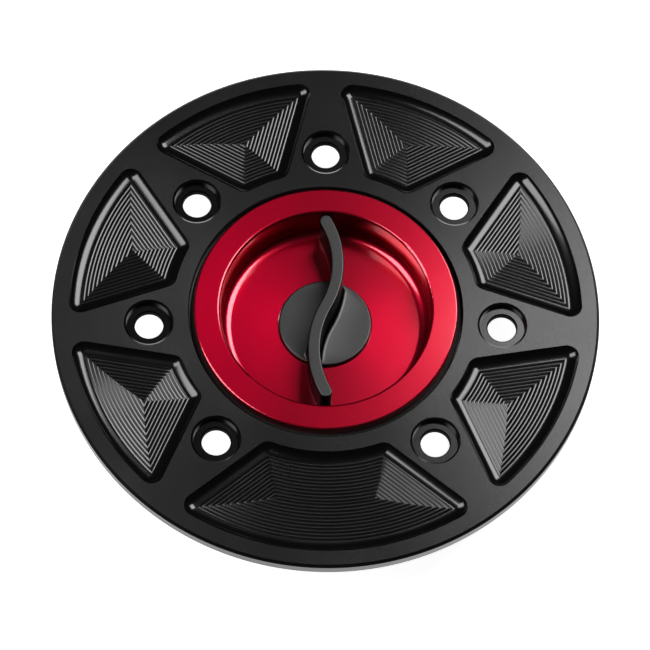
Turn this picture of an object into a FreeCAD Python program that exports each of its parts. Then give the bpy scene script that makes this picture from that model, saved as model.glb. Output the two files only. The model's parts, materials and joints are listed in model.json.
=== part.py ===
import FreeCAD, Part
import math
import os

import Sketcher
from FreeCAD import Placement, Rotation, Vector

# Quick-release fuel tank cap for a motorcycle: a screw-down flange with a filler neck, a dished
# plug that seals in the neck, and an S-shaped handle that turns a lock bar under a bayonet ring.
# Millimetres. +Z points up out of the tank. The origin is on the cap's axis, in the plane of the
# flange's underside, which rests on the tank. Depths are measured down from that plane.

DRIVING_DIMENSIONS = {
    # flange
    "flange_radius": 60,
    "flange_thickness": 3,
    "flange_chamfer": 0.6,
    "screw_circle": 38.8,
    "screw_step": 47.5,
    "screw_count": 7,
    "screw_hole": 3.15,
    "counterbore": 5,
    "counterbore_depth": 1.5,
    "counterbore_chamfer": 0.45,
    # pockets milled into the flange between the screw holes
    "pocket_outer": 56.3,
    "pocket_inner": 33.5,
    "pocket_side_offset": 16.15,
    "pocket_lean": 14,
    "pocket_depth": 1.4,
    "pocket_corner": 2.65,
    "pocket_cove": 1.2,
    # filler neck
    "seat_radius": 30,
    "seat_height": 0.5,
    "throat": 27.2,
    "neck_radius": 31,
    "neck_depth": 14.6,
    "ring_bore": 28.4,
    "ring_depth": 10.2,
    "collar_radius": 33.2,
    "collar_height": 1.2,
    "gasket_inner": 31.6,
    "gasket_outer": 32.7,
    "gasket_thickness": 0.8,
    # bayonet ring and its screws
    "ring_thickness": 3.2,
    "ring_inner": 22,
    "ring_gap": 0.05,
    "notch_gap": 0.5,
    "ring_screw_depth": 11.8,
    "ring_screw_shank": 1.25,
    "ring_screw_length": 5.4,
    "ring_screw_head": 2.3,
    "ring_screw_head_height": 1.1,
    "ring_screw_pocket": 1.3,
    "ring_screw_socket": 1.1,
    # dished plug
    "rim_radius": 28.9,
    "rim_top": 4.2,
    "rim_bottom": 1.5,
    "dish_radius": 23.1,
    "dish_depth": 4.9,
    "dish_cove": 2.3,
    "dish_lip": 0.6,
    "rim_round": 0.4,
    "plug_radius": 27.1,
    "plug_depth": 9.2,
    "web_depth": 7.4,
    "skirt_inner": 22.5,
    "boss_radius": 14.5,
    "boss_depth": 12,
    "groove_radius": 25.1,
    "groove_top_depth": 5.4,
    "groove_width": 2.6,
    "rim_seal_inner": 27.4,
    "rim_seal_outer": 29.7,
    # key that stops the plug turning in the neck
    "key_radius": 1,
    "key_depth": 1.5,
    "key_inner": 24.9,
    "key_outer": 28.4,
    "key_slot_outer": 28.6,
    "key_slot_gap": 0.1,
    "key_slot_floor_gap": 0.2,
    # handle and hub
    "hub_radius": 10.2,
    "hub_top_depth": 3.95,
    "hub_bottom_depth": 6.05,
    "hub_chamfer": 0.25,
    "hub_gap": 0.25,
    "hub_floor_gap": 0.1,
    "blade_reach": 20.5,
    "blade_arc": 21.5,
    "blade_width": 2.7,
    "blade_top": 5.6,
    "blade_floor_gap": 0.45,
    "blade_chamfer": 0.2,
    "blade_root": 1.1,
    # spindle, its bush and washers
    "spindle_flange": 8.5,
    "spindle_flange_depth": 7.55,
    "spindle_radius": 5,
    "running_gap": 0.05,
    "spindle_pocket": 8.8,
    "washer_thickness": 0.3,
    "washer_inner": 5.2,
    "washer_outer": 8.4,
    "bush_radius": 6.5,
    "bush_flange": 8,
    "bush_flange_thickness": 0.6,
    "spindle_groove_radius": 3.9,
    "spindle_groove_depth": 9.6,
    "spindle_groove_width": 1.4,
    "spindle_screw_circle": 6.8,
    "spindle_screw_shank": 1,
    "spindle_screw_length": 3,
    "spindle_screw_head": 1.55,
    "spindle_screw_head_height": 0.8,
    "spindle_screw_socket": 0.75,
    # lock bar and the parts that clamp it
    "spring_inner": 5.3,
    "spring_outer": 9.5,
    "spring_thickness": 0.5,
    "bar_depth": 13.5,
    "bar_thickness": 3,
    "bar_reach": 26.6,
    "bar_half_width": 7,
    "bar_ramp": 0.8,
    "drive_half": 3.5,
    "drive_length": 2.9,
    "clamp_washer_radius": 6.9,
    "clamp_washer_thickness": 1,
    "clamp_screw_shank": 2.45,
    "clamp_screw_hole": 2.5,
    "clamp_screw_hole_top": 8.4,
    "clamp_screw_length": 8.8,
    "clamp_screw_head": 4.5,
    "clamp_screw_head_height": 2.8,
    "clamp_screw_socket": 1.75,
    # pins that stop the lock bar at each end of its quarter turn
    "stop_pin_radius": 1.5,
    "stop_pin_top_depth": 8.5,
    "stop_pin_length": 7.6,
    # ball vent in the plug's boss
    "vent_offset": 11.6,
    "vent_bore": 1.6,
    "vent_chamber_depth": 6.9,
    "vent_hole": 0.7,
    "vent_hole_depth": 5.6,
    "vent_passage": 0.35,
    "vent_passage_depth": 5.75,
    "vent_seat_thickness": 0.7,
    "vent_ball": 1.25,
    "vent_retainer_thickness": 0.8,
    "vent_retainer_hole": 0.35,
    "vent_retainer_circle": 0.9,
}

SOCKET_SIDES = 6
ring_screw_angles = [45, 135, 225, 315]
spindle_screw_angles = [30, 150, 270]
stop_pin_angles = [135, 315]

doc = FreeCAD.newDocument("FuelCap")
sheet = doc.addObject("Spreadsheet::Sheet", "Dims")
for row, (alias, number) in enumerate(DRIVING_DIMENSIONS.items(), start=1):
    sheet.set(f"A{row}", alias)
    sheet.set(f"B{row}", str(number))
    sheet.setAlias(f"B{row}", alias)
doc.recompute()


def size(alias):
    """The expression that reads one driving dimension."""
    return f"Dims.{alias}"


def below(alias):
    """The height of something that lies a driving dimension below the flange's underside."""
    return f"-Dims.{alias}"


def measure(expression):
    """The present value of an expression."""
    return float(sheet.evalExpression(expression.replace("Dims.", "")))


# --- building blocks -------------------------------------------------------------------------


def new_body(label):
    body = doc.addObject("PartDesign::Body", label)
    body.Label = label
    return body


def origin_feature(body, role):
    return next(item for item in body.Origin.OriginFeatures if item.Role == role)


def new_sketch(body, role, level, turn=0):
    """A sketch parallel to an origin plane, `level` along its normal, turned about its own Y."""
    sketch = body.newObject("Sketcher::SketchObject", f"{body.Name}_sketch")
    sketch.AttachmentSupport = [(origin_feature(body, role), "")]
    sketch.MapMode = "FlatFace"
    reach = Rotation(Vector(0, 1, 0), turn).multVec(Vector(0, 0, measure(level)))
    sketch.AttachmentOffset = Placement(reach, Rotation(Vector(0, 1, 0), turn))
    if turn == 0:
        sketch.setExpression("AttachmentOffset.Base.z", level)
    return sketch


def constrain(sketch, kind, references, expression):
    """Adds one dimension and binds it to the sheet."""
    index = sketch.addConstraint(Sketcher.Constraint(kind, *references, measure(expression)))
    sketch.setExpression(f"Constraints[{index}]", expression)


def arc_between(start, end, radius, side):
    """The short arc from start to end with its centre to the left (side 1) or right (side -1)."""
    chord = end - start
    to_left = Vector(-chord.y, chord.x, 0).normalize()
    rise = math.sqrt(max(radius ** 2 - (chord.Length / 2) ** 2, 0))
    centre = (start + end) / 2 + to_left * (side * rise)
    first, last = (start, end) if side == 1 else (end, start)
    first_angle = math.atan2(first.y - centre.y, first.x - centre.x)
    last_angle = math.atan2(last.y - centre.y, last.x - centre.x)
    if last_angle < first_angle:
        last_angle += 2 * math.pi
    return Part.ArcOfCircle(Part.Circle(centre, Vector(0, 0, 1), radius), first_angle, last_angle)


def outline(body, role, level, corners):
    """A closed sketch. A corner is (x, y), or (x, y, radius, side) where an arc leaves it."""
    sketch = new_sketch(body, role, level)
    spots = [Vector(measure(corner[0]), measure(corner[1]), 0) for corner in corners]
    ends = []
    for index, corner in enumerate(corners):
        start, end = spots[index], spots[(index + 1) % len(spots)]
        if len(corner) == 2:
            sketch.addGeometry(Part.LineSegment(start, end))
            ends.append((1, 2))
        else:
            sketch.addGeometry(arc_between(start, end, measure(corner[2]), corner[3]))
            ends.append((1, 2) if corner[3] == 1 else (2, 1))
    for index, corner in enumerate(corners):
        after = (index + 1) % len(corners)
        joint = Sketcher.Constraint("Coincident", index, ends[index][1], after, ends[after][0])
        sketch.addConstraint(joint)
        constrain(sketch, "DistanceX", (-1, 1, index, ends[index][0]), corner[0])
        constrain(sketch, "DistanceY", (-1, 1, index, ends[index][0]), corner[1])
        if len(corner) == 4:
            constrain(sketch, "Radius", (index,), corner[2])
    return sketch


def circle(body, role, level, x, y, radius, turn=0):
    sketch = new_sketch(body, role, level, turn)
    middle = Vector(measure(x), measure(y), 0)
    sketch.addGeometry(Part.Circle(middle, Vector(0, 0, 1), measure(radius)))
    constrain(sketch, "DistanceX", (-1, 1, 0, 3), x)
    constrain(sketch, "DistanceY", (-1, 1, 0, 3), y)
    constrain(sketch, "Radius", (0,), radius)
    return sketch


def feature(body, kind, sketch, length, along_normal):
    """A Pad or Pocket. A Pad's own way is along the sketch's normal, a Pocket's is against it."""
    item = body.newObject(f"PartDesign::{kind}", f"{body.Name}_{kind.lower()}")
    item.Profile = sketch
    item.setExpression("Length", length)
    item.Reversed = along_normal == (kind == "Pocket")
    return item


def pad(body, sketch, length, along_normal=True):
    return feature(body, "Pad", sketch, length, along_normal)


def pocket(body, sketch, length, along_normal=False):
    return feature(body, "Pocket", sketch, length, along_normal)


def turned(label, corners):
    """A body turned about the cap's axis from a section of (radius, height) corners."""
    body = new_body(label)
    sketch = outline(body, "XZ_Plane", "0", corners)
    turning = body.newObject("PartDesign::Revolution", f"{label}_turning")
    turning.Profile = sketch
    turning.ReferenceAxis = (sketch, ["V_Axis"])
    turning.Angle = 360
    return body


def ring(label, inner, outer, low, high):
    return turned(label, [(inner, low), (outer, low), (outer, high), (inner, high)])


def repeat_around(body, features, count, whole_angle):
    """Repeats features about the cap's axis, the first and last `whole_angle` apart."""
    pattern = body.newObject("PartDesign::PolarPattern", f"{body.Name}_pattern")
    pattern.Originals = features
    pattern.Axis = (origin_feature(body, "Z_Axis"), [""])
    pattern.setExpression("Angle", whole_angle)
    pattern.setExpression("Occurrences", count)
    body.Tip = pattern
    return pattern


def dress(body, kind, amount, chosen):
    """A Fillet or Chamfer on every edge of the body that `chosen` accepts."""
    doc.recompute()
    base = body.Tip
    edges = [f"Edge{i}" for i, edge in enumerate(base.Shape.Edges, start=1) if chosen(edge)]
    if not edges:
        raise RuntimeError(f"{body.Label} has no edge for its {kind}")
    item = body.newObject(f"PartDesign::{kind}", f"{body.Name}_{kind.lower()}")
    item.Base = (base, edges)
    item.setExpression("Radius" if kind == "Fillet" else "Size", amount)
    return item


def near(first, second):
    return abs(first - second) < 0.001


def middle_of(edge):
    return edge.valueAt((edge.FirstParameter + edge.LastParameter) / 2)


def round_edge(radius, height):
    """Accepts a circular edge of that radius at that height."""
    def chosen(edge):
        if not isinstance(edge.Curve, Part.Circle):
            return False
        return near(edge.Curve.Radius, measure(radius)) and near(middle_of(edge).z, measure(height))
    return chosen


def upright_edge(inner, outer):
    """Accepts a vertical edge whose distance from the cap's axis lies between the two."""
    def chosen(edge):
        if not isinstance(edge.Curve, Part.Line):
            return False
        spot = middle_of(edge)
        upright = near(abs(edge.tangentAt(edge.FirstParameter).z), 1)
        return upright and measure(inner) < math.hypot(spot.x, spot.y) < measure(outer)
    return chosen


def level_edge(height, inner, outer):
    """Accepts an edge that lies at that height, between the two distances from the axis."""
    def chosen(edge):
        if not all(near(point.z, measure(height)) for point in edge.discretize(5)):
            return False
        spot = middle_of(edge)
        return measure(inner) < math.hypot(spot.x, spot.y) < measure(outer)
    return chosen


def primitive(kind, label, sizes, place=None):
    """A Part primitive whose properties are bound to the sheet."""
    item = doc.addObject(f"Part::{kind}", label)
    item.Label = label
    if place is not None:
        item.Placement = place
    for name, expression in sizes.items():
        item.setExpression(name, expression)
    return item


def screw(label, prefix, place):
    """A socket head screw. Its head's top is at the place, and its shank points along local -Z."""
    def dimension(name):
        return size(f"{prefix}_{name}")

    head = primitive("Cylinder", f"{label}_head", {
        "Radius": dimension("head"),
        "Height": dimension("head_height"),
        "Placement.Base.z": f"-{dimension('head_height')}",
    })
    shank = primitive("Cylinder", f"{label}_shank", {
        "Radius": dimension("shank"),
        "Height": dimension("length"),
        "Placement.Base.z": f"-{dimension('length')}",
    })
    solid = doc.addObject("Part::Fuse", f"{label}_solid")
    solid.Base = head
    solid.Tool = shank
    socket_depth = f"{dimension('head_height')} * 0.6"
    socket = primitive("Prism", f"{label}_socket", {
        "Circumradius": dimension("socket"),
        "Height": f"{socket_depth} + 1",
        "Placement.Base.z": f"-{socket_depth}",
    })
    socket.Polygon = SOCKET_SIDES
    item = doc.addObject("Part::Cut", label)
    item.Base = solid
    item.Tool = socket
    item.Placement = place
    return item


def group(label, items):
    """Identical fasteners in one node, each a solid of its own."""
    compound = doc.addObject("Part::Compound", label)
    compound.Label = label
    compound.Links = items
    return compound


def around_axis(radius, angle, height, tilt=0):
    """A placement on a circle about the cap's axis, its local +Z tilted outwards from +Z."""
    heading = Rotation(Vector(0, 0, 1), angle)
    base = heading.multVec(Vector(radius, 0, 0)) + Vector(0, 0, height)
    return Placement(base, heading.multiply(Rotation(Vector(0, 1, 0), tilt)))


# --- flange and filler neck ------------------------------------------------------------------


def side_point(radius, screw_angle, side):
    """Where the straight side of a pocket meets an arc about the cap's axis.

    The side runs past the axis at pocket_side_offset and leans away from the pocket by
    pocket_lean from the direction of its screw hole. side is 1 where the pocket lies
    anticlockwise of that hole, and -1 where it lies clockwise.
    """
    heading = f"({screw_angle} - {side} * {size('pocket_lean')})"
    offset = size("pocket_side_offset")
    along = f"sqrt({radius} ^ 2 - {offset} ^ 2)"
    x = f"{along} * cos({heading}) - {side} * {offset} * sin({heading})"
    y = f"{along} * sin({heading}) + {side} * {offset} * cos({heading})"
    return x, y


def pocket_outline(body, first_screw, second_screw):
    """The pocket between two screw holes, the first being the clockwise one."""
    outer, inner = size("pocket_outer"), size("pocket_inner")
    return outline(body, "XY_Plane", size("flange_thickness"), [
        (*side_point(outer, first_screw, 1), outer, 1),
        side_point(outer, second_screw, -1),
        (*side_point(inner, second_screw, -1), inner, -1),
        side_point(inner, first_screw, 1),
    ])


def make_flange_ring():
    top = size("flange_thickness")
    body = turned("flange_ring", [
        (size("seat_radius"), size("collar_height")),
        (size("seat_radius"), top),
        (size("flange_radius"), top),
        (size("flange_radius"), "0"),
        (size("collar_radius"), "0"),
        (size("collar_radius"), size("collar_height")),
    ])
    first_screw = f"(90 - ({size('screw_count')} - 1) / 2 * {size('screw_step')})"
    last_screw = f"(90 + ({size('screw_count')} - 1) / 2 * {size('screw_step')})"
    second_screw = f"({first_screw} + {size('screw_step')})"
    x = f"{size('screw_circle')} * cos({first_screw})"
    y = f"{size('screw_circle')} * sin({first_screw})"
    hole = pocket(body, circle(body, "XY_Plane", top, x, y, size("screw_hole")), top)
    recess = pocket(body, circle(body, "XY_Plane", top, x, y, size("counterbore")),
                    size("counterbore_depth"))
    repeat_around(body, [hole, recess], size("screw_count"),
                  f"({size('screw_count')} - 1) * {size('screw_step')}")
    small = pocket(body, pocket_outline(body, first_screw, second_screw), size("pocket_depth"))
    repeat_around(body, [small], f"{size('screw_count')} - 1",
                  f"({size('screw_count')} - 2) * {size('screw_step')}")
    pocket(body, pocket_outline(body, f"({last_screw} - 360)", first_screw),
           size("pocket_depth"))
    dress(body, "Fillet", size("pocket_corner"),
          upright_edge(f"{size('pocket_inner')} - 1", f"{size('pocket_outer')} + 1"))
    dress(body, "Fillet", size("pocket_cove"),
          level_edge(f"{top} - {size('pocket_depth')}",
                     f"{size('pocket_inner')} - 1", f"{size('pocket_outer')} + 1"))
    dress(body, "Chamfer", size("counterbore_chamfer"), round_edge(size("counterbore"), top))
    dress(body, "Chamfer", size("flange_chamfer"), round_edge(size("flange_radius"), top))
    return body


def make_filler_neck():
    """The neck, hung by its collar in a recess under the flange, with the seat for the plug."""
    body = turned("filler_neck", [
        (size("throat"), size("seat_height")),
        (size("seat_radius"), size("seat_height")),
        (size("seat_radius"), size("collar_height")),
        (size("collar_radius"), size("collar_height")),
        (size("collar_radius"), "0"),
        (size("gasket_outer"), "0"),
        (size("gasket_outer"), size("gasket_thickness")),
        (size("gasket_inner"), size("gasket_thickness")),
        (size("gasket_inner"), "0"),
        (size("neck_radius"), "0"),
        (size("neck_radius"), below("neck_depth")),
        (size("ring_bore"), below("neck_depth")),
        (size("ring_bore"), below("ring_depth")),
        (size("throat"), below("ring_depth")),
    ])
    cut_key_slot(body)
    for angle in ring_screw_angles:
        cut_ring_screw_hole(body, angle)
    return body


def make_tank_gasket():
    """A flat seal in the collar's groove, shown pressed flush by the tank."""
    return ring("tank_gasket", size("gasket_inner"), size("gasket_outer"),
                "0", size("gasket_thickness"))


def cut_key_slot(body):
    """The slot in the throat, on the -X side, that the plug's key slides down."""
    half = f"({size('key_radius')} + {size('key_slot_gap')})"
    slot = outline(body, "XY_Plane", size("seat_height"), [
        (f"-{size('throat')} + 1", f"-{half}"),
        (f"-{size('throat')} + 1", half),
        (f"-{size('key_slot_outer')}", half),
        (f"-{size('key_slot_outer')}", f"-{half}"),
    ])
    depth = f"{size('seat_height')} + {size('key_depth')} + {size('key_radius')}"
    pocket(body, slot, f"{depth} + {size('key_slot_floor_gap')}")


def cut_ring_screw_hole(body, angle):
    """A counterbored hole through the neck's wall, straight out from the axis."""
    height = below("ring_screw_depth")
    shank_hole = circle(body, "YZ_Plane", size("throat"), "0", height,
                        f"{size('ring_screw_shank')} + {size('ring_gap')}", angle)
    pocket(body, shank_hole, size("neck_radius"), along_normal=True)
    head_level = f"{size('neck_radius')} - {size('ring_screw_pocket')}"
    head_hole = circle(body, "YZ_Plane", head_level, "0", height,
                       f"{size('ring_screw_head')} + {size('ring_gap')}", angle)
    pocket(body, head_hole, size("neck_radius"), along_normal=True)


# --- bayonet ring ----------------------------------------------------------------------------


def bar_outline(body, level, half_width, reach):
    """A bar along Y with its ends rounded about the cap's axis."""
    end = f"sqrt(({reach}) ^ 2 - ({half_width}) ^ 2)"
    return outline(body, "XY_Plane", level, [
        (f"({half_width})", f"-{end}"),
        (f"({half_width})", end, reach, 1),
        (f"-({half_width})", end),
        (f"-({half_width})", f"-{end}", reach, 1),
    ])


def make_bayonet_ring():
    low = f"-{size('ring_depth')} - {size('ring_thickness')}"
    body = ring("bayonet_ring", size("ring_inner"), f"{size('ring_bore')} - {size('ring_gap')}",
                low, below("ring_depth"))
    notches = bar_outline(body, below("ring_depth"), f"{size('bar_half_width')} + {size('notch_gap')}",
                          f"{size('bar_reach')} + {size('notch_gap')}")
    pocket(body, notches, size("ring_thickness"))
    for angle in ring_screw_angles:
        hole = circle(body, "YZ_Plane", f"{size('neck_radius')} - {size('ring_screw_length')} - 1",
                      "0", below("ring_screw_depth"), size("ring_screw_shank"), angle)
        pocket(body, hole, size("ring_screw_length"), along_normal=True)
    return body


def make_ring_screws():
    head_top = measure(f"{size('neck_radius')} - {size('ring_screw_pocket')}")
    head_top += measure(size("ring_screw_head_height"))
    height = measure(below("ring_screw_depth"))
    return group("ring_screws", [
        screw(f"ring_screw_{angle}", "ring_screw", around_axis(head_top, angle, height, 90))
        for angle in ring_screw_angles
    ])


# --- dished plug -----------------------------------------------------------------------------


def make_cap_dish():
    hub_pocket = f"{size('hub_radius')} + {size('hub_gap')}"
    hub_floor = f"-{size('hub_bottom_depth')} - {size('hub_floor_gap')}"
    spindle_floor = f"-{size('spindle_flange_depth')} - {size('washer_thickness')}"
    groove_top = below("groove_top_depth")
    groove_bottom = f"-{size('groove_top_depth')} - {size('groove_width')}"
    body = turned("cap_dish", [
        (size("bush_radius"), below("boss_depth")),
        (size("boss_radius"), below("boss_depth")),
        (size("boss_radius"), below("web_depth")),
        (size("skirt_inner"), below("web_depth")),
        (size("skirt_inner"), below("plug_depth")),
        (size("plug_radius"), below("plug_depth")),
        (size("plug_radius"), groove_bottom),
        (size("groove_radius"), groove_bottom),
        (size("groove_radius"), groove_top),
        (size("plug_radius"), groove_top),
        (size("plug_radius"), size("rim_bottom")),
        (size("rim_radius"), size("rim_bottom")),
        (size("rim_radius"), size("rim_top")),
        (size("dish_radius"), size("rim_top")),
        (size("dish_radius"), below("dish_depth")),
        (hub_pocket, below("dish_depth")),
        (hub_pocket, hub_floor),
        (size("spindle_pocket"), hub_floor),
        (size("spindle_pocket"), spindle_floor),
        (size("bush_radius"), spindle_floor),
    ])
    dress(body, "Fillet", size("dish_cove"), round_edge(size("dish_radius"), below("dish_depth")))
    dress(body, "Fillet", size("dish_lip"), round_edge(size("dish_radius"), size("rim_top")))
    dress(body, "Fillet", size("rim_round"), round_edge(size("rim_radius"), size("rim_top")))
    dress(body, "Chamfer", size("rim_round"), round_edge(size("plug_radius"), below("plug_depth")))
    cut_vent(body)
    key_hole = circle(body, "YZ_Plane", f"-{size('key_inner')}", "0", below("key_depth"),
                      size("key_radius"))
    pocket(body, key_hole, size("key_radius") + " * 4")
    for angle in stop_pin_angles:
        x, y = stop_pin_spot(angle)
        hole = circle(body, "XY_Plane", below("boss_depth"), x, y, size("stop_pin_radius"))
        pocket(body, hole, f"{size('boss_depth')} - {size('stop_pin_top_depth')}",
               along_normal=True)
    return body


def stop_pin_spot(angle):
    """A pin touches one flank of the lock bar unlocked, and the other after the quarter turn."""
    reach = f"sqrt(2) * ({size('bar_half_width')} + {size('stop_pin_radius')} + {size('running_gap')})"
    return f"{reach} * cos({angle})", f"{reach} * sin({angle})"


def cut_vent(body):
    """The ball vent's bore, up from the boss, and the passage from it into the hub's pocket."""
    bore = circle(body, "XY_Plane", below("boss_depth"), size("vent_offset"), "0",
                  size("vent_bore"))
    pocket(body, bore, f"{size('boss_depth')} - {size('vent_chamber_depth')}", along_normal=True)
    hole = circle(body, "XY_Plane", below("boss_depth"), size("vent_offset"), "0",
                  size("vent_hole"))
    pocket(body, hole, f"{size('boss_depth')} - {size('vent_hole_depth')}", along_normal=True)
    passage = circle(body, "YZ_Plane", size("vent_offset"), "0", below("vent_passage_depth"),
                     size("vent_passage"))
    pocket(body, passage, f"{size('vent_offset')} - {size('hub_radius')}")


def make_rim_seal():
    return ring("rim_seal", size("rim_seal_inner"), size("rim_seal_outer"),
                size("seat_height"), size("rim_bottom"))


def o_ring(label, inner, outer, height):
    """A round-section seal that fills the space between two radii."""
    return primitive("Torus", label, {
        "Radius1": f"(({inner}) + ({outer})) / 2",
        "Radius2": f"(({outer}) - ({inner})) / 2 - 0.01",
        "Placement.Base.z": height,
    })


def make_throat_o_ring():
    return o_ring("throat_o_ring", size("groove_radius"), size("throat"),
                  f"-{size('groove_top_depth')} - {size('groove_width')} / 2")


def make_hub_bush():
    bore = f"{size('spindle_radius')} + {size('running_gap')}"
    flange_low = f"-{size('boss_depth')} - {size('bush_flange_thickness')}"
    top = f"-{size('spindle_flange_depth')} - {size('washer_thickness')}"
    return turned("hub_bush", [
        (bore, flange_low),
        (size("bush_flange"), flange_low),
        (size("bush_flange"), below("boss_depth")),
        (size("bush_radius"), below("boss_depth")),
        (size("bush_radius"), top),
        (bore, top),
    ])


def make_stop_pins():
    pins = []
    for angle in stop_pin_angles:
        x, y = stop_pin_spot(angle)
        pins.append(primitive("Cylinder", f"stop_pin_{angle}", {
            "Radius": size("stop_pin_radius"),
            "Height": size("stop_pin_length"),
            "Placement.Base.x": x,
            "Placement.Base.y": y,
            "Placement.Base.z": f"-{size('stop_pin_top_depth')} - {size('stop_pin_length')}",
        }))
    return group("stop_pins", pins)


def make_key_pin():
    outward = Placement(Vector(0, 0, 0), Rotation(Vector(0, 1, 0), -90))
    return primitive("Cylinder", "key_pin", {
        "Radius": size("key_radius"),
        "Height": f"{size('key_outer')} - {size('key_inner')}",
        "Placement.Base.x": f"-{size('key_inner')}",
        "Placement.Base.z": below("key_depth"),
    }, outward)


# --- ball vent -------------------------------------------------------------------------------


def vent_place(height):
    return {"Placement.Base.x": size("vent_offset"), "Placement.Base.z": height}


def make_vent_seat():
    height = f"-{size('vent_chamber_depth')} - {size('vent_seat_thickness')}"
    blank = primitive("Cylinder", "vent_seat_blank", {
        "Radius": size("vent_bore"),
        "Height": size("vent_seat_thickness"),
        **vent_place(height),
    })
    hole = primitive("Cylinder", "vent_seat_hole", {
        "Radius": size("vent_hole"),
        "Height": f"{size('vent_seat_thickness')} * 3",
        **vent_place(f"{height} - {size('vent_seat_thickness')}"),
    })
    return cut_from("vent_seat", blank, hole)


def cut_from(label, blank, tool):
    item = doc.addObject("Part::Cut", label)
    item.Label = label
    item.Base = blank
    item.Tool = tool
    return item


def make_vent_retainer():
    """A perforated disc in the mouth of the vent's bore, on which the ball rests."""
    blank = primitive("Cylinder", "vent_retainer_blank", {
        "Radius": size("vent_bore"),
        "Height": size("vent_retainer_thickness"),
        **vent_place(below("boss_depth")),
    })
    holes = []
    for angle in (0, 120, 240):
        holes.append(primitive("Cylinder", f"vent_retainer_hole_{angle}", {
            "Radius": size("vent_retainer_hole"),
            "Height": f"{size('vent_retainer_thickness')} * 3",
            "Placement.Base.x": f"{size('vent_offset')} + {size('vent_retainer_circle')} * cos({angle})",
            "Placement.Base.y": f"{size('vent_retainer_circle')} * sin({angle})",
            "Placement.Base.z": f"-{size('boss_depth')} - {size('vent_retainer_thickness')}",
        }))
    return cut_from("vent_retainer", blank, group("vent_retainer_holes", holes))


def make_vent_ball():
    centre = f"-{size('boss_depth')} + {size('vent_retainer_thickness')} + {size('vent_ball')}"
    return primitive("Sphere", "vent_ball", {"Radius": size("vent_ball"), **vent_place(centre)})


# --- handle ----------------------------------------------------------------------------------


def blade_outline(body, level):
    """The S of the blade: two equal arcs that meet on the axis, with rounded tips."""
    swing = f"asin({size('blade_reach')} / (2 * {size('blade_arc')}))"
    half = f"({size('blade_width')} / 2)"
    across = f"{half} * cos({swing})"
    along = f"{half} * sin({swing})"
    reach = size("blade_reach")
    wide = f"{size('blade_arc')} + {half}"
    tight = f"{size('blade_arc')} - {half}"
    return outline(body, "XY_Plane", level, [
        (across, f"-{along}", wide, 1),
        (across, f"{reach} + {along}", half, 1),
        (f"-{along}", f"{reach} + {across}", half, 1),
        (f"-{across}", f"{reach} - {along}", tight, -1),
        (f"-{across}", along, wide, 1),
        (f"-{across}", f"-{reach} - {along}", half, 1),
        (along, f"-{reach} - {across}", half, 1),
        (across, f"-{reach} + {along}", tight, -1),
    ])


def make_handle():
    hub_low, hub_high = below("hub_bottom_depth"), below("hub_top_depth")
    body = turned("handle", [
        ("0", hub_low),
        (size("hub_radius"), hub_low),
        (size("hub_radius"), hub_high),
        ("0", hub_high),
    ])
    dress(body, "Chamfer", size("hub_chamfer"), round_edge(size("hub_radius"), hub_high))
    blade_low = f"-{size('dish_depth')} + {size('blade_floor_gap')}"
    pad(body, blade_outline(body, blade_low), f"{size('blade_top')} - ({blade_low})")
    foot_reach = f"{size('hub_radius')} - {size('blade_root')}"
    dress(body, "Fillet", size("blade_root"), level_edge(hub_high, "0", foot_reach))
    dress(body, "Chamfer", size("blade_chamfer"),
          level_edge(size("blade_top"), "0", size("dish_radius")))
    for angle in spindle_screw_angles:
        x, y = spindle_screw_spot(angle)
        hole = circle(body, "XY_Plane", hub_low, x, y, size("spindle_screw_shank"))
        pocket(body, hole, f"{size('spindle_screw_length')} - "
               f"({size('spindle_flange_depth')} - {size('hub_bottom_depth')})",
               along_normal=True)
    return body


def spindle_screw_spot(angle):
    circle_radius = size("spindle_screw_circle")
    return f"{circle_radius} * cos({angle})", f"{circle_radius} * sin({angle})"


def make_spindle():
    """A flanged shaft with a seal groove, a square end for the lock bar and a tapped hole."""
    groove_low = f"-{size('spindle_groove_depth')} - {size('spindle_groove_width')}"
    body = turned("spindle", [
        ("0", below("hub_bottom_depth")),
        (size("spindle_flange"), below("hub_bottom_depth")),
        (size("spindle_flange"), below("spindle_flange_depth")),
        (size("spindle_radius"), below("spindle_flange_depth")),
        (size("spindle_radius"), below("spindle_groove_depth")),
        (size("spindle_groove_radius"), below("spindle_groove_depth")),
        (size("spindle_groove_radius"), groove_low),
        (size("spindle_radius"), groove_low),
        (size("spindle_radius"), below("bar_depth")),
        ("0", below("bar_depth")),
    ])
    pad(body, drive_square(body, below("bar_depth")), size("drive_length"), along_normal=False)
    tapped_depth = f"{size('bar_depth')} + {size('drive_length')} - {size('clamp_screw_hole_top')}"
    tapped = circle(body, "XY_Plane", f"-{size('bar_depth')} - {size('drive_length')}", "0", "0",
                    size("clamp_screw_hole"))
    pocket(body, tapped, tapped_depth, along_normal=True)
    for angle in spindle_screw_angles:
        x, y = spindle_screw_spot(angle)
        flange_low = below("spindle_flange_depth")
        shank = circle(body, "XY_Plane", flange_low, x, y, size("spindle_screw_shank"))
        pocket(body, shank, f"{size('spindle_flange_depth')} - {size('hub_bottom_depth')}",
               along_normal=True)
        head = circle(body, "XY_Plane", flange_low, x, y, size("spindle_screw_head"))
        pocket(body, head, size("spindle_screw_head_height"), along_normal=True)
    return body


def drive_square(body, level):
    half = size("drive_half")
    return outline(body, "XY_Plane", level, [
        (f"-{half}", f"-{half}"),
        (half, f"-{half}"),
        (half, half),
        (f"-{half}", half),
    ])


def make_spindle_screws():
    height = measure(below("spindle_flange_depth"))
    return group("spindle_screws", [
        screw(f"spindle_screw_{angle}", "spindle_screw",
              around_axis(measure(size("spindle_screw_circle")), angle, height, 180))
        for angle in spindle_screw_angles
    ])


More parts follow.
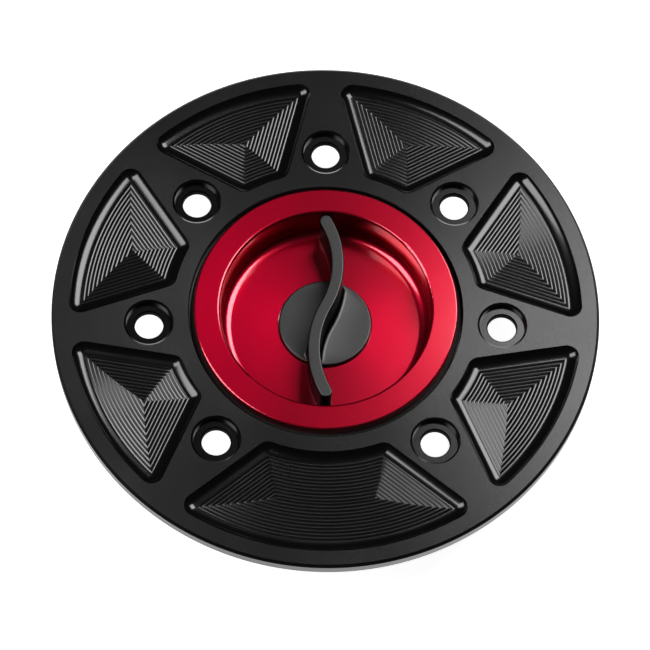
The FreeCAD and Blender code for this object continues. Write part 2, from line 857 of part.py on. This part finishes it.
def make_thrust_washer():
    return ring("thrust_washer", size("washer_inner"), size("washer_outer"),
                f"-{size('spindle_flange_depth')} - {size('washer_thickness')}",
                below("spindle_flange_depth"))


def make_spindle_o_ring():
    return o_ring("spindle_o_ring", size("spindle_groove_radius"),
                  f"{size('spindle_radius')} + {size('running_gap')}",
                  f"-{size('spindle_groove_depth')} - {size('spindle_groove_width')} / 2")


def make_disc_spring():
    """A shallow cone between the bush's flange and the lock bar."""
    top = f"-{size('boss_depth')} - {size('bush_flange_thickness')}"
    return turned("disc_spring", [
        (size("spring_inner"), f"{top} - {size('spring_thickness')}"),
        (size("spring_outer"), below("bar_depth")),
        (size("spring_outer"), f"-{size('bar_depth')} + {size('spring_thickness')}"),
        (size("spring_inner"), top),
    ])


def make_lock_bar():
    body = new_body("lock_bar")
    bar = bar_outline(body, below("bar_depth"), size("bar_half_width"), size("bar_reach"))
    pad(body, bar, size("bar_thickness"), along_normal=False)
    pocket(body, drive_square(body, below("bar_depth")), size("bar_thickness"))
    dress(body, "Chamfer", size("bar_ramp"), is_bar_flank_top)
    return body


def is_bar_flank_top(edge):
    """The long top edges of the bar, which are ramped so that they ride under the ring."""
    spot = middle_of(edge)
    on_flank = near(abs(spot.x), measure(size("bar_half_width")))
    on_top = near(spot.z, measure(below("bar_depth")))
    return isinstance(edge.Curve, Part.Line) and on_flank and on_top


def make_clamp_washer():
    top = f"-{size('bar_depth')} - {size('bar_thickness')}"
    return ring("clamp_washer", size("clamp_screw_hole"), size("clamp_washer_radius"),
                f"{top} - {size('clamp_washer_thickness')}", top)


def make_clamp_screw():
    head_low = f"{size('bar_depth')} + {size('bar_thickness')} + {size('clamp_washer_thickness')}"
    height = -measure(f"{head_low} + {size('clamp_screw_head_height')}")
    item = screw("clamp_screw", "clamp_screw", around_axis(0, 0, height, 180))
    item.Label = "clamp_screw"
    return item


# --- assembly --------------------------------------------------------------------------------

sub_parts = [
    make_flange_ring(),
    make_filler_neck(),
    make_bayonet_ring(),
    make_ring_screws(),
    make_tank_gasket(),
    make_cap_dish(),
    make_rim_seal(),
    make_throat_o_ring(),
    make_hub_bush(),
    make_stop_pins(),
    make_key_pin(),
    make_vent_seat(),
    make_vent_retainer(),
    make_vent_ball(),
    make_handle(),
    make_spindle(),
    make_spindle_screws(),
    make_thrust_washer(),
    make_spindle_o_ring(),
    make_disc_spring(),
    make_lock_bar(),
    make_clamp_washer(),
    make_clamp_screw(),
]
doc.recompute()

for item in doc.Objects:
    if "Invalid" in item.State or "Error" in item.State:
        raise RuntimeError(f"{item.Name} did not compute: {item.State}")
for item in sub_parts:
    if item.Shape.isNull() or not item.Shape.isValid():
        raise RuntimeError(f"{item.Label} has no valid shape")

os.makedirs("parts", exist_ok=True)
for item in sub_parts:
    item.Shape.exportStep(f"parts/{item.Label}.step")
    box = item.Shape.BoundBox
    print(f"{item.Label:16s} solids {len(item.Shape.Solids)}  volume {item.Shape.Volume:9.1f}"
          f"  z {box.ZMin:7.2f} to {box.ZMax:6.2f}")
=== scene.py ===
import json
import math

import bmesh
import bpy
from mathutils import Matrix, Vector
from mathutils.geometry import delaunay_2d_cdt


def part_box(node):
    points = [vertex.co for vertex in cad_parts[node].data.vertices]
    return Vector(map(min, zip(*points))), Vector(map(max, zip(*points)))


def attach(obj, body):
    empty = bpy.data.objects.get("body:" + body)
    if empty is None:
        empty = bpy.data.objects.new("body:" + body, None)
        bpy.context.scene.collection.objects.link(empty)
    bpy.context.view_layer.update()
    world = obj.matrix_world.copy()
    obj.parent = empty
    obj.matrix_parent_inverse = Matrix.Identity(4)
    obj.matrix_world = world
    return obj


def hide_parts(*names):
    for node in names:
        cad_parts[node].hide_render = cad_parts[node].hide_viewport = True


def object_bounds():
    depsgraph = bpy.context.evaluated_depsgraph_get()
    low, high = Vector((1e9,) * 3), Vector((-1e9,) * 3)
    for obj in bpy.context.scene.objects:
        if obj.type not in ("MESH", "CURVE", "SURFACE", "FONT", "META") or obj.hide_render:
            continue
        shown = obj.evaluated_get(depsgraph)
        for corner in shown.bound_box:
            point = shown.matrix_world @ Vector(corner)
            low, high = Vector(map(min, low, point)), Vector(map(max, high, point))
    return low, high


# The looks of a quick-release fuel tank cap: a black anodised flange with milled pockets, a red
# anodised dished plug, and a black S-shaped handle. Metres, in the CAD frame, +Z up out of the tank.
# Sizes that the frame doesn't hold repeat the CAD source, apart from edges, coves and grooves.

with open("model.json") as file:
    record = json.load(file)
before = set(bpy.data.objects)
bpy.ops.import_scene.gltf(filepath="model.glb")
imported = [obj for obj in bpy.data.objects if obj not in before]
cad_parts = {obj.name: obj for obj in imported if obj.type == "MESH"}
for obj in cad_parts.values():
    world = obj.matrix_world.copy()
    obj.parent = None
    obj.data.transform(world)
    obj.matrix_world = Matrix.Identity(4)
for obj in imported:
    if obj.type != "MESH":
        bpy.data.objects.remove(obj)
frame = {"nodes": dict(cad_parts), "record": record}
cad_low, cad_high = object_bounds()
nodes = frame["nodes"]

MM = 0.001
WELD = 0.002 * MM
INSIDE_WITHOUT_HOLES = 2
SAME_POINT = 1e-9

# --- sizes, from the frame -------------------------------------------------------------------

flange_low, flange_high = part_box("flange_ring")
collar_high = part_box("filler_neck")[1]
screw_mounts = [mount for mount in frame["record"]["mounts"] if mount["kind"] == "bolt_pattern"]

TOP = flange_high.z
FLANGE_RADIUS = flange_high.x
COLLAR_RADIUS = collar_high.x
COLLAR_TOP = collar_high.z
SEAT_RADIUS = 30 * MM
SCREW_HOLE = screw_mounts[0]["dims"]["hole_r_mm"] * MM
SCREW_CIRCLE = math.hypot(screw_mounts[0]["dims"]["spacing_x_mm"] / 2 * MM, screw_mounts[0]["pos_m"][1])
SCREW_COUNT = 7
SCREW_STEP = math.radians(47.5)
SCREW_ANGLES = [math.pi / 2 + (i - (SCREW_COUNT - 1) / 2) * SCREW_STEP for i in range(SCREW_COUNT)]

handle_low, handle_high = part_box("handle")
HUB_RADIUS = handle_high.x
HUB_TOP = -3.95 * MM
HUB_EDGE = 0.3 * MM
BLADE_WIDTH = 2.7 * MM
BLADE_ARC = 21.5 * MM
BLADE_REACH = handle_high.y - BLADE_WIDTH / 2
BLADE_SWING = math.asin(BLADE_REACH / 2 / BLADE_ARC)
BLADE_LOW = -4.45 * MM
BLADE_EDGE = 0.3 * MM
BLADE_ROOT = 1.1 * MM
SUPPORT = 0.05 * MM
TAPPED_HOLE = 1 * MM
TAPPED_CIRCLE = 6.8 * MM
TAPPED_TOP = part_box("spindle_screws")[1].z
TAPPED_ANGLES = [math.radians(angle) for angle in (30, 150, 270)]

FLANGE_CHAMFER = 0.6 * MM
SEAT_CHAMFER = 0.15 * MM
COUNTERBORE = 5 * MM
COUNTERBORE_DEPTH = 1.5 * MM
COUNTERBORE_CHAMFER = 0.45 * MM
HOLE_CHAMFER = 0.25 * MM

POCKET_OUTER = 56.3 * MM
POCKET_INNER = 33.5 * MM
POCKET_SIDE = 16.15 * MM
POCKET_LEAN = math.radians(14)
POCKET_DEPTH = 1.4 * MM
CUTTER = 3.2 * MM
COVE_WIDTH = math.sqrt(CUTTER ** 2 - (CUTTER - POCKET_DEPTH) ** 2)
GROOVE_PITCH = 0.8 * MM
GROOVE_CUTTER = 0.6 * MM

# --- mesh tools ------------------------------------------------------------------------------


def polar(radius, angle):
    return Vector((radius * math.cos(angle), radius * math.sin(angle)))


def circle(radius, count, centre=Vector((0, 0))):
    """Points on a circle, anticlockwise from +X."""
    return [centre + polar(radius, math.tau * i / count) for i in range(count)]


class Skin:
    """A surface put together from loops of points in the plan view, each at its own height."""

    def __init__(self):
        self.mesh = bmesh.new()
        self.finish_index = 0

    def face(self, corners):
        self.mesh.faces.new(corners).material_index = self.finish_index

    def lift(self, loop, height):
        return [self.mesh.verts.new((point.x, point.y, height)) for point in loop]

    def bridge(self, rows):
        """Quads between successive (loop, height) rows, all with the same number of points."""
        raised = [self.lift(loop, height) for loop, height in rows]
        for lower, upper in zip(raised, raised[1:]):
            for i in range(len(lower)):
                j = (i + 1) % len(lower)
                self.face((lower[i], lower[j], upper[j], upper[i]))

    def flat(self, rim, holes, height):
        """A level face inside the rim loop and outside the hole loops."""
        points, outlines = [], []
        for loop in [rim, *holes]:
            outlines.append(list(range(len(points), len(points) + len(loop))))
            points.extend(loop)
        spots, _, faces, *_ = delaunay_2d_cdt(points, [], outlines, INSIDE_WITHOUT_HOLES, SAME_POINT)
        raised = self.lift(spots, height)
        for face in faces:
            self.face([raised[i] for i in face])

    def cap(self, loop, height):
        self.face(self.lift(loop, height))

    def finish(self, name, sharp_angle):
        """Welds the loops where they meet and gives the surface as an object in the scene."""
        bmesh.ops.remove_doubles(self.mesh, verts=self.mesh.verts, dist=WELD)
        bmesh.ops.dissolve_degenerate(self.mesh, edges=self.mesh.edges, dist=WELD)
        bmesh.ops.recalc_face_normals(self.mesh, faces=self.mesh.faces)
        data = bpy.data.meshes.new(name)
        self.mesh.to_mesh(data)
        self.mesh.free()
        data.shade_smooth()
        data.set_sharp_from_angle(angle=sharp_angle)
        piece = bpy.data.objects.new(name, data)
        bpy.context.scene.collection.objects.link(piece)
        return piece


# --- flange ----------------------------------------------------------------------------------

ARC_POINTS = 40
SIDE_POINTS = 16
CORNER_POINTS = 10
COVE_STEPS = 14
GROOVE_STEPS = 8
HOLE_POINTS = 96
SEAT_POINTS = 256
EDGE_POINTS = 360
FLANGE_SHARP = math.radians(14)

# The flange's finishes, in the order of its material slots. The fourth, on the screw holes' walls, and
# the fifth, on the edge chamfer, are darker copies of the anodising that paint shade there.
FLATS, MILLED, GROOVED, PAINTED_SHADE, EDGE = range(5)


def side_point(radius, offset, screw_angle, side):
    """Where a straight pocket side, `offset` from the axis, meets a circle about the axis."""
    heading = screw_angle - side * POCKET_LEAN
    along = math.sqrt(radius ** 2 - offset ** 2)
    return polar(along, heading) + side * polar(offset, heading + math.pi / 2)


def between(first, last, count):
    """The points that divide a straight stretch, without its ends."""
    return [first.lerp(last, i / count) for i in range(1, count)]


def arc_between(first, last, radius, count):
    """The points that divide an arc about the axis, without its ends."""
    start = math.atan2(first.y, first.x)
    sweep = (math.atan2(last.y, last.x) - start + math.pi) % math.tau - math.pi
    return [polar(radius, start + sweep * i / count) for i in range(1, count)]


def corner_fan(corner, radius, first_angle, last_angle):
    """A round corner, anticlockwise, which is one repeated point at no radius."""
    sweep = (last_angle - first_angle) % math.tau
    return [corner + polar(radius, first_angle + sweep * i / CORNER_POINTS)
            for i in range(CORNER_POINTS + 1)]


def pocket_row(first_screw, second_screw, inset):
    """A pocket's outline moved inwards: round corners in the cove, mitred ones on the floor."""
    swell = max(COVE_WIDTH - inset, 0)
    inset = max(inset, COVE_WIDTH)
    outer, inner, offset = POCKET_OUTER - inset, POCKET_INNER + inset, POCKET_SIDE + inset
    corners = [
        side_point(outer, offset, first_screw, 1),
        side_point(outer, offset, second_screw, -1),
        side_point(inner, offset, second_screw, -1),
        side_point(inner, offset, first_screw, 1),
    ]
    outwards = [math.atan2(corner.y, corner.x) for corner in corners]
    first_side = first_screw - POCKET_LEAN - math.pi / 2
    second_side = second_screw + POCKET_LEAN + math.pi / 2
    fans = [
        corner_fan(corners[0], swell, first_side, outwards[0]),
        corner_fan(corners[1], swell, outwards[1], second_side),
        corner_fan(corners[2], swell, second_side, outwards[2] + math.pi),
        corner_fan(corners[3], swell, outwards[3] + math.pi, first_side),
    ]
    return [
        *fans[0], *arc_between(fans[0][-1], fans[1][0], outer + swell, ARC_POINTS),
        *fans[1], *between(fans[1][-1], fans[2][0], SIDE_POINTS),
        *fans[2], *arc_between(fans[2][-1], fans[3][0], inner - swell, ARC_POINTS),
        *fans[3], *between(fans[3][-1], fans[0][0], SIDE_POINTS),
    ]


def pocket_reach(first_screw, second_screw):
    """The inset at which a pocket's outline has shrunk to a point or to a line."""
    spread = math.sin(((second_screw - first_screw) % math.tau) / 2 + POCKET_LEAN)
    return min(
        (POCKET_OUTER - POCKET_INNER) / 2,
        (POCKET_OUTER * spread - POCKET_SIDE) / (1 + spread),
        (POCKET_INNER * spread - POCKET_SIDE) / (1 - spread),
    )


def pocket_profile(reach):
    """(inset, height) down the cove and over the grooves that the cutter leaves on the floor."""
    floor = TOP - POCKET_DEPTH
    steepest = math.asin(COVE_WIDTH / CUTTER)
    profile = []
    for i in range(COVE_STEPS + 1):
        slope = steepest * (1 - i / COVE_STEPS)
        profile.append((COVE_WIDTH - CUTTER * math.sin(slope),
                        floor + CUTTER * (1 - math.cos(slope))))
    step = GROOVE_PITCH / GROOVE_STEPS
    inset = COVE_WIDTH + step
    while inset < reach - step / 2:
        past_ridge = (inset - COVE_WIDTH + GROOVE_PITCH / 2) % GROOVE_PITCH
        from_middle = past_ridge - GROOVE_PITCH / 2
        height = floor + GROOVE_CUTTER - math.sqrt(GROOVE_CUTTER ** 2 - from_middle ** 2)
        profile.append((inset, height))
        inset += step
    profile.append((reach, profile[-1][1]))
    return profile


def cut_pocket(skin, first_screw, second_screw):
    """The cove and the grooved floor of one pocket. Gives the outline of its mouth."""
    profile = pocket_profile(pocket_reach(first_screw, second_screw))
    rows = [(pocket_row(first_screw, second_screw, inset), height) for inset, height in profile]
    skin.finish_index = MILLED
    skin.bridge(rows[:COVE_STEPS + 1])
    skin.finish_index = GROOVED
    skin.bridge(rows[COVE_STEPS:])
    skin.cap(*rows[-1])
    return rows[0][0]


def cut_screw_hole(skin, centre):
    """A counterbore and its hole. Gives the outlines of the mouth above and of the hole below."""
    mouth = circle(COUNTERBORE + COUNTERBORE_CHAMFER, HOLE_POINTS, centre)
    wall = circle(COUNTERBORE, HOLE_POINTS, centre)
    hole_mouth = circle(SCREW_HOLE + HOLE_CHAMFER, HOLE_POINTS, centre)
    hole = circle(SCREW_HOLE, HOLE_POINTS, centre)
    floor = TOP - COUNTERBORE_DEPTH
    skin.finish_index = MILLED
    skin.bridge([(mouth, TOP), (wall, TOP - COUNTERBORE_CHAMFER), (wall, floor),
                 (hole_mouth, floor)])
    # The hole's walls get the copy that hardly reflects: painted shade.
    skin.finish_index = PAINTED_SHADE
    skin.bridge([(hole_mouth, floor), (hole, floor - HOLE_CHAMFER), (hole, flange_low.z)])
    return mouth, hole


def make_flange():
    skin = Skin()
    mouths, holes = [], []
    for first_screw, second_screw in zip(SCREW_ANGLES, SCREW_ANGLES[1:] + SCREW_ANGLES[:1]):
        mouths.append(cut_pocket(skin, first_screw, second_screw))
    for angle in SCREW_ANGLES:
        mouth, hole = cut_screw_hole(skin, polar(SCREW_CIRCLE, angle))
        mouths.append(mouth)
        holes.append(hole)
    skin.finish_index = FLATS
    edge = circle(FLANGE_RADIUS, EDGE_POINTS)
    chamfered = circle(FLANGE_RADIUS - FLANGE_CHAMFER, EDGE_POINTS)
    skin.bridge([(edge, flange_low.z), (edge, TOP - FLANGE_CHAMFER)])
    # The edge chamfer gets the copy that reflects little: painted shade.
    skin.finish_index = EDGE
    skin.bridge([(edge, TOP - FLANGE_CHAMFER), (chamfered, TOP)])
    skin.finish_index = FLATS
    seat = circle(SEAT_RADIUS, SEAT_POINTS)
    seat_mouth = circle(SEAT_RADIUS + SEAT_CHAMFER, SEAT_POINTS)
    recess = circle(COLLAR_RADIUS, SEAT_POINTS)
    skin.bridge([(seat_mouth, TOP), (seat, TOP - SEAT_CHAMFER), (seat, COLLAR_TOP),
                 (recess, COLLAR_TOP), (recess, flange_low.z)])
    skin.flat(chamfered, [seat_mouth, *mouths], TOP)
    skin.flat(edge, [recess, *holes], flange_low.z)
    return skin.finish("flange_milled", FLANGE_SHARP)


# --- handle ----------------------------------------------------------------------------------

BLADE_POINTS = 16
TIP_POINTS = 14
HUB_POINTS = 160
TAPPED_POINTS = 24
EDGE_STEPS = 5
ROOT_STEPS = 7
ROOT_RUN_OUT = 0.4
BURIED = 0.3 * MM
SUNK = 0.02 * MM
HANDLE_SHARP = math.radians(40)

# The handle's finishes, in the order of its material slots. The sides are the blade's only, and get a
# copy of the anodising that hardly reflects, which paints shade on them.
HUB_AND_TOP, SHADED_BLADE_SIDES = range(2)


def blade_outline(swell):
    """The S of the blade, grown outwards: two equal arcs that meet on the axis, and round tips."""
    half = BLADE_WIDTH / 2 + swell
    points = []
    for turn in (0, math.pi):
        centre = polar(math.hypot(BLADE_ARC * math.cos(BLADE_SWING), BLADE_REACH / 2),
                       turn + math.pi - BLADE_SWING)
        tip = polar(BLADE_REACH, turn + math.pi / 2)
        sweep = [turn + BLADE_SWING * (i / BLADE_POINTS - 1) for i in range(2 * BLADE_POINTS + 1)]
        points += [centre + polar(BLADE_ARC + half, angle) for angle in sweep]
        points += [tip + polar(half, turn + BLADE_SWING + math.pi * i / TIP_POINTS)
                   for i in range(1, TIP_POINTS)]
        points += [centre + polar(BLADE_ARC - half, angle) for angle in reversed(sweep[1:])]
    return points


def rooted(swell):
    """The blade's outline, grown where it stands on the hub.

    The growth starts a little way in from the hub's edge and is full one fillet radius further in.
    """
    plain, grown = blade_outline(0), blade_outline(swell)
    shares = [min(max((HUB_RADIUS - point.length) / BLADE_ROOT - ROOT_RUN_OUT, 0), 1)
              for point in plain]
    return [first.lerp(last, share) for first, last, share in zip(plain, grown, shares)]


def rounded_edge(outline, radius, top):
    """Rows that round a wall over into a level top. The first and last keep the flats flat."""
    rows = [(outline(0), top - radius - SUPPORT)]
    for i in range(EDGE_STEPS + 1):
        slope = math.pi / 2 * i / EDGE_STEPS
        rows.append((outline(-radius * (1 - math.cos(slope))),
                     top - radius * (1 - math.sin(slope))))
    rows.append((outline(-radius - SUPPORT), top))
    return rows


def make_blade():
    """The blade and the fillet round its root. Its foot goes on down into the hub."""
    skin = Skin()
    foot = blade_outline(0)
    rows = [(foot, BLADE_LOW), (foot, HUB_TOP - BURIED), (rooted(BLADE_ROOT), HUB_TOP - SUNK)]
    for i in range(ROOT_STEPS + 1):
        slope = math.pi / 2 * i / ROOT_STEPS
        rows.append((rooted(BLADE_ROOT * (1 - math.sin(slope))),
                     HUB_TOP + BLADE_ROOT * (1 - math.cos(slope))))
    rows += rounded_edge(blade_outline, BLADE_EDGE, handle_high.z)
    skin.bridge(rows)
    skin.flat(foot, [], BLADE_LOW)
    skin.flat(rows[-1][0], [], handle_high.z)
    return skin.finish("blade", HANDLE_SHARP)


def make_hub():
    """The disc that the blade stands on, with the tapped holes for the spindle's screws."""
    skin = Skin()
    holes = [circle(TAPPED_HOLE, TAPPED_POINTS, polar(TAPPED_CIRCLE, angle))
             for angle in TAPPED_ANGLES]
    foot = circle(HUB_RADIUS, HUB_POINTS)
    edge = rounded_edge(lambda swell: circle(HUB_RADIUS + swell, HUB_POINTS), HUB_EDGE, HUB_TOP)
    skin.bridge([(foot, handle_low.z), *edge])
    skin.cap(*edge[-1])
    skin.flat(foot, holes, handle_low.z)
    for hole in holes:
        skin.bridge([(hole, handle_low.z), (hole, TAPPED_TOP)])
        skin.cap(hole, TAPPED_TOP)
    return skin.finish("hub", HANDLE_SHARP)


def make_handle():
    """Blade and hub joined into one solid."""
    blade, hub = make_blade(), make_hub()
    join = hub.modifiers.new("join", "BOOLEAN")
    join.operation = "UNION"
    join.solver = "EXACT"
    join.object = blade
    evaluated_hub = hub.evaluated_get(bpy.context.evaluated_depsgraph_get())
    joined = bpy.data.meshes.new_from_object(evaluated_hub)
    joined.name = "handle_milled"
    for part in (blade, hub):
        bpy.data.objects.remove(part)
    handle = bpy.data.objects.new("handle_milled", joined)
    bpy.context.scene.collection.objects.link(handle)
    joined.shade_smooth()
    joined.set_sharp_from_angle(angle=HANDLE_SHARP)
    return handle


# --- materials -------------------------------------------------------------------------------

QUARTER_TURN = 0.25
NOISE_LOW = 0.3
NOISE_HIGH = 0.7

# Noise scales, in features per metre.
BLACK_CLOUDS = 60
RED_CLOUDS = 90
METAL_CLOUDS = 900
SOFT_MOTTLE = 2500
FINE_GRAIN = 3500


def new_material(name):
    """A node material, and its tree's nodes, links and surface shader."""
    material = bpy.data.materials.new(name)
    material.use_nodes = True
    tree = material.node_tree
    return material, tree.nodes, tree.links, tree.nodes["Principled BSDF"]


def noise(tree_nodes, links, scale, detail):
    coordinates = tree_nodes.new("ShaderNodeTexCoord")
    texture = tree_nodes.new("ShaderNodeTexNoise")
    texture.inputs["Scale"].default_value = scale
    texture.inputs["Detail"].default_value = detail
    links.new(coordinates.outputs["Object"], texture.inputs["Vector"])
    return texture.outputs["Fac"]


def remap(tree_nodes, links, value, low, high):
    """Stretches a noise's usual range to the one from low to high."""
    ranger = tree_nodes.new("ShaderNodeMapRange")
    ranger.inputs["From Min"].default_value = NOISE_LOW
    ranger.inputs["From Max"].default_value = NOISE_HIGH
    ranger.inputs["To Min"].default_value = low
    ranger.inputs["To Max"].default_value = high
    links.new(value, ranger.inputs["Value"])
    return ranger.outputs["Result"]


def bump(tree_nodes, links, value, distance, strength, shader):
    relief = tree_nodes.new("ShaderNodeBump")
    relief.inputs["Distance"].default_value = distance
    relief.inputs["Strength"].default_value = strength
    links.new(value, relief.inputs["Height"])
    links.new(relief.outputs["Normal"], shader.inputs["Normal"])


def turning_marks(tree_nodes, links, shader, anisotropy):
    """Stretches the highlights away from the axis, as marks that run round it do."""
    tangent = tree_nodes.new("ShaderNodeTangent")
    tangent.direction_type = "RADIAL"
    tangent.axis = "Z"
    links.new(tangent.outputs["Tangent"], shader.inputs["Tangent"])
    shader.inputs["Anisotropic"].default_value = anisotropy
    shader.inputs["Anisotropic Rotation"].default_value = QUARTER_TURN


def anodised_black(name, roughness, anisotropy=0, ior=1.65, grain=0.15, gloss=0):
    """Black anodising: almost no colour of its own, with a cloudy sheen and a fine grain.

    Turning marks and a glossy layer on top are there where they're asked for.
    """
    material, tree_nodes, links, shader = new_material(name)
    shader.inputs["Base Color"].default_value = (0.002, 0.002, 0.0021, 1)
    shader.inputs["IOR"].default_value = ior
    sheen = noise(tree_nodes, links, BLACK_CLOUDS, 4)
    links.new(remap(tree_nodes, links, sheen, roughness - 0.02, roughness + 0.02),
              shader.inputs["Roughness"])
    bump(tree_nodes, links, noise(tree_nodes, links, FINE_GRAIN, 2), 0.015 * MM, grain, shader)
    if anisotropy:
        turning_marks(tree_nodes, links, shader, anisotropy)
    if gloss:
        shader.inputs["Coat Weight"].default_value = gloss
        shader.inputs["Coat Roughness"].default_value = 0.13
    return material


def anodised_red():
    """Red anodising: dyed metal with turning marks, under a clear glossy layer."""
    material, tree_nodes, links, shader = new_material("anodised_red")
    shader.inputs["Metallic"].default_value = 1
    shader.inputs["Coat Weight"].default_value = 1
    shader.inputs["Coat IOR"].default_value = 1.7
    shader.inputs["Coat Roughness"].default_value = 0.11
    turning_marks(tree_nodes, links, shader, 0.4)
    clouds = noise(tree_nodes, links, RED_CLOUDS, 3)
    blend = tree_nodes.new("ShaderNodeMix")
    blend.data_type = "RGBA"
    blend.inputs["A"].default_value = (0.62, 0, 0.03, 1)
    blend.inputs["B"].default_value = (0.45, 0, 0.018, 1)
    links.new(clouds, blend.inputs["Factor"])
    links.new(blend.outputs["Result"], shader.inputs["Base Color"])
    links.new(remap(tree_nodes, links, clouds, 0.29, 0.36), shader.inputs["Roughness"])
    return material


def plain_metal(name, colour, roughness):
    """Satin turned metal, a little cloudy, with a faint grain."""
    material, tree_nodes, links, shader = new_material(name)
    shader.inputs["Base Color"].default_value = (*colour, 1)
    shader.inputs["Metallic"].default_value = 1
    clouds = noise(tree_nodes, links, METAL_CLOUDS, 3)
    links.new(remap(tree_nodes, links, clouds, roughness - 0.04, roughness + 0.04),
              shader.inputs["Roughness"])
    bump(tree_nodes, links, noise(tree_nodes, links, FINE_GRAIN, 2), 0.004 * MM, 0.3, shader)
    turning_marks(tree_nodes, links, shader, 0.4)
    return material


def soft_plastic(name, colour, roughness):
    """Rubber or PTFE: a faint mottle and a matt surface."""
    material, tree_nodes, links, shader = new_material(name)
    shader.inputs["Base Color"].default_value = (*colour, 1)
    mottle = noise(tree_nodes, links, SOFT_MOTTLE, 3)
    links.new(remap(tree_nodes, links, mottle, roughness - 0.08, roughness + 0.08),
              shader.inputs["Roughness"])
    bump(tree_nodes, links, mottle, 0.02 * MM, 0.4, shader)
    return material


milled_black = anodised_black("anodised_black_milled", 0.17)
grooved_black = anodised_black("anodised_black_grooved", 0.29, ior=1.5, gloss=1)
# Painted shade: a copy of the black anodising that hardly reflects, for the blade's sides and the screw
# holes' walls, which it keeps dark.
shaded_black = anodised_black("anodised_black_painted_shade", 0.45, ior=1.06)
# Painted shade: a copy that reflects little, which keeps the flange's edge chamfer dark.
shaded_edge_black = anodised_black("anodised_black_shaded_edge", 0.4, ior=1.2)
hub_black = anodised_black("anodised_black_hub", 0.36, ior=1.7, grain=0.5)
materials = {
    "black_anodised": anodised_black("anodised_black", 0.26, anisotropy=0.5, grain=0.7),
    "red_anodised": anodised_red(),
    "bare_aluminium": plain_metal("turned_aluminium", (0.75, 0.75, 0.77), 0.35),
    "stainless": plain_metal("stainless_steel", (0.62, 0.62, 0.63), 0.34),
    "black_rubber": soft_plastic("nitrile_rubber", (0.005, 0.005, 0.005), 0.8),
    "bronze": plain_metal("turned_bronze", (0.60, 0.40, 0.19), 0.34),
    "white_ptfe": soft_plastic("ptfe", (0.82, 0.82, 0.8), 0.45),
}

# --- assembly --------------------------------------------------------------------------------

NODE_SHARP = math.radians(25)

slots = {part["node"]: part["material_slot"] for part in frame["record"]["subparts"]}
for name, node in nodes.items():
    node.data.materials.clear()
    node.data.materials.append(materials[slots[name]])
    node.data.shade_smooth()
    node.data.set_sharp_from_angle(angle=NODE_SHARP)

flange = make_flange()
for finish in (materials["black_anodised"], milled_black, grooved_black, shaded_black, shaded_edge_black):
    flange.data.materials.append(finish)
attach(flange, "base")
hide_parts("flange_ring")

handle = make_handle()
for finish in (hub_black, shaded_black):
    handle.data.materials.append(finish)
# Painted shade: the blade's walls, from a little above the hub up to the top's rounding, get the copy
# that hardly reflects.
sides_low, sides_high = HUB_TOP + BLADE_ROOT / 5, handle_high.z - BLADE_EDGE / 5
for face in handle.data.polygons:
    on_side = sides_low < face.center.z < sides_high
    face.material_index = SHADED_BLADE_SIDES if on_side else HUB_AND_TOP
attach(handle, "handle")
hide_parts("handle")

# --- stage -----------------------------------------------------------------------------------

FLOOR_RADIUS = 4
FLOOR_POINTS = 64


def make_floor():
    """A white floor that also glows, as a light table does."""
    skin = Skin()
    skin.cap(circle(FLOOR_RADIUS, FLOOR_POINTS), cad_low.z)
    floor = skin.finish("floor", NODE_SHARP)
    material, _, _, shader = new_material("light_table")
    shader.inputs["Base Color"].default_value = (0.8, 0.8, 0.8, 1)
    shader.inputs["Roughness"].default_value = 0.9
    shader.inputs["Emission Color"].default_value = (1, 1, 1, 1)
    shader.inputs["Emission Strength"].default_value = 0.93
    floor.data.materials.append(material)


def softbox(name, direction, distance, width, height, radiance):
    """A rectangular light that faces the cap. Its power follows from its area and radiance."""
    data = bpy.data.lights.new(name, "AREA")
    data.shape = "RECTANGLE"
    data.size = width
    data.size_y = height
    data.energy = radiance * width * height * math.pi
    light = bpy.data.objects.new(name, data)
    direction = Vector(direction).normalized()
    light.location = direction * distance
    light.rotation_euler = direction.to_track_quat("Z", "Y").to_euler()
    bpy.context.scene.collection.objects.link(light)


def make_camera(target, distance, azimuth, elevation, roll, tilt, pan, lens):
    """Looks at the target from that far off, then turns a little about its own axes."""
    data = bpy.data.cameras.new("camera")
    data.sensor_width = 36
    data.lens = lens
    data.clip_start = 0.01
    camera = bpy.data.objects.new("camera", data)
    back = Vector((math.sin(azimuth) * math.cos(elevation),
                   -math.cos(azimuth) * math.cos(elevation), math.sin(elevation)))
    right = Vector((math.cos(azimuth), math.sin(azimuth), 0))
    turn = Matrix((right, back.cross(right), back)).transposed()
    turn = turn @ Matrix.Rotation(-roll, 3, "Z") @ Matrix.Rotation(tilt, 3, "X")
    turn = turn @ Matrix.Rotation(pan, 3, "Y")
    camera.matrix_world = Matrix.Translation(target + back * distance) @ turn.to_4x4()
    bpy.context.scene.collection.objects.link(camera)
    bpy.context.scene.camera = camera


make_floor()
softbox("key_right", (0.44, 0.335, 0.835), distance=1, width=0.57, height=0.51, radiance=6.6)
softbox("fill_left", (-0.646, -0.09, 0.757), distance=1, width=0.46, height=0.84, radiance=5.2)
world = bpy.data.worlds.new("studio")
world.use_nodes = True
world.node_tree.nodes["Background"].inputs["Color"].default_value = (1, 1, 1, 1)
world.node_tree.nodes["Background"].inputs["Strength"].default_value = 0.015
bpy.context.scene.world = world
bpy.context.scene.view_settings.view_transform = "Standard"

make_camera(
    target=Vector((0, 0, TOP)),
    distance=0.7393,
    azimuth=math.radians(-2.73),
    elevation=math.radians(65.27),
    roll=math.radians(-2.98),
    tilt=math.radians(-0.2616),
    pan=math.radians(0.0137),
    lens=187.06,
)
